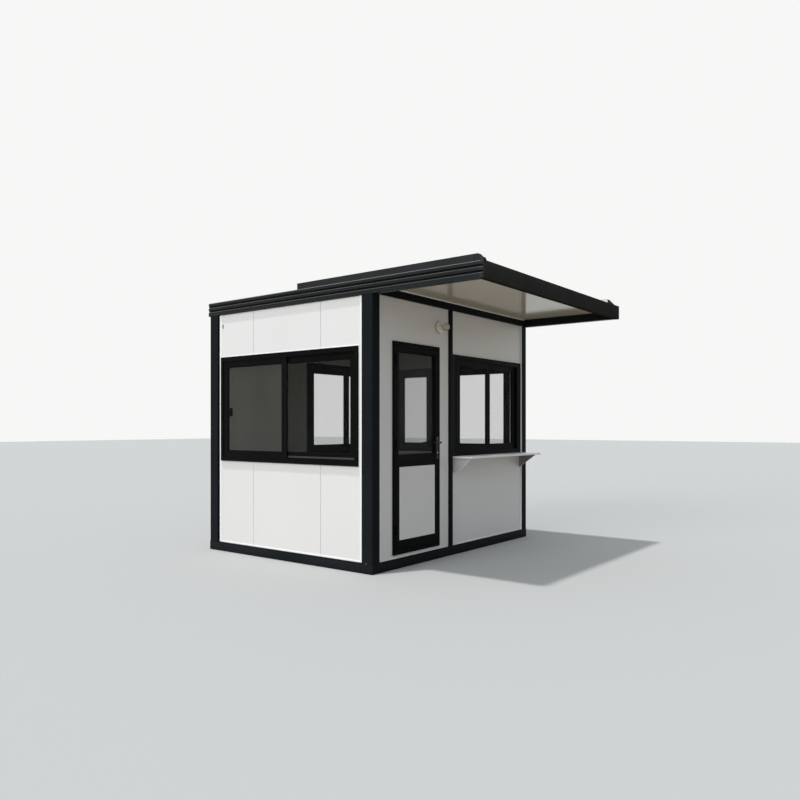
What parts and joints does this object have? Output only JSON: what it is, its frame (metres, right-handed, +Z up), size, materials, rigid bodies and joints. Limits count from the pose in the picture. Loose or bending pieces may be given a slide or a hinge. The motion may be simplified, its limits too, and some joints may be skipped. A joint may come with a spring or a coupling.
{
  "type": "security guard booth",
  "caption": "Panelled security guard booth with a deep front canopy, half-glazed door, sliding windows and a serving counter.",
  "frame": {"origin": "on the ground, under the middle of the whole footprint, canopy included", "axes": "+Z up; the door and counter face -Y; +X runs to the right along the front"},
  "size_m": [3, 3.58, 2.825],
  "materials": {
    "charcoal_steel": "satin charcoal paint",
    "roof_rail_steel": "charcoal outside, off-white inside",
    "white_panel": "smooth white sandwich panel",
    "floor_board": "grey vinyl on board",
    "roof_sheet": "off-white roof panel",
    "soffit_sheet": "glossy off-white lining",
    "black_aluminium": "satin black coating",
    "window_glass": "clear, faint grey",
    "white_counter": "smooth white",
    "white_lamp": "gloss white",
    "lamp_glass": "clear glass globe",
    "dark_handle": "dark satin"
  },
  "bodies": {
    "booth": {"base_rail_front": "charcoal_steel", "base_rail_back": "charcoal_steel", "base_rails_side": "charcoal_steel", "post_front_left": "charcoal_steel", "post_front_right": "charcoal_steel", "post_back_left": "charcoal_steel", "post_back_right": "charcoal_steel", "post_middle": "charcoal_steel", "front_top_beam": "charcoal_steel", "roof_beam_left": "charcoal_steel", "roof_beam_right": "charcoal_steel", "roof_beam_back": "charcoal_steel", "canopy_fascia": "charcoal_steel", "roof_rail_left": "roof_rail_steel", "roof_rail_right": "roof_rail_steel", "left_wall_lower": "white_panel", "left_wall_upper": "white_panel", "right_wall_lower": "white_panel", "right_wall_upper": "white_panel", "back_wall_left": "white_panel", "back_wall_lower": "white_panel", "back_wall_upper": "white_panel", "front_wall_left": "white_panel", "front_wall_beside_door": "white_panel", "front_wall_over_door": "white_panel", "door_sill": "white_panel", "front_wall_lower": "white_panel", "front_wall_upper": "white_panel", "wall_edge_strips": "white_panel", "floor_deck": "floor_board", "roof_panel": "roof_sheet", "canopy_soffit": "soffit_sheet", "left_window_frame": "black_aluminium", "left_window_sashes": "black_aluminium", "right_window_frame": "black_aluminium", "right_window_sashes": "black_aluminium", "back_window_frame": "black_aluminium", "back_window_sashes": "black_aluminium", "service_window_frame": "black_aluminium", "service_window_sashes": "black_aluminium", "window_glass": "window_glass", "counter_shelf": "white_counter", "counter_brackets": "white_counter", "lamp_base": "white_lamp", "lamp_globe": "lamp_glass", "door_frame": "black_aluminium", "hinge_frame_halves": "black_aluminium"},
    "door": {"door_leaf_frame": "black_aluminium", "door_glass": "window_glass", "door_lower_panel": "white_panel", "hinge_door_halves": "black_aluminium", "door_lock_plates": "dark_handle", "door_pull": "dark_handle"},
    "lever": {"door_lever": "dark_handle"}
  },
  "joints": [
    {"name": "door_hinge", "type": "hinge", "parent": "booth", "child": "door", "pos_m": [-1.1435, -0.609, 1.15], "axis": [0, 0, -1], "range_deg": [0, 100]},
    {"name": "lever_turn", "type": "hinge", "parent": "door", "child": "lever", "pos_m": [-0.456, -0.6, 1.206], "axis": [0, -1, 0], "range_deg": [0, 35], "stiffness_Nm_per_rad": 1.5, "springref_deg": -20.05}
  ]
}
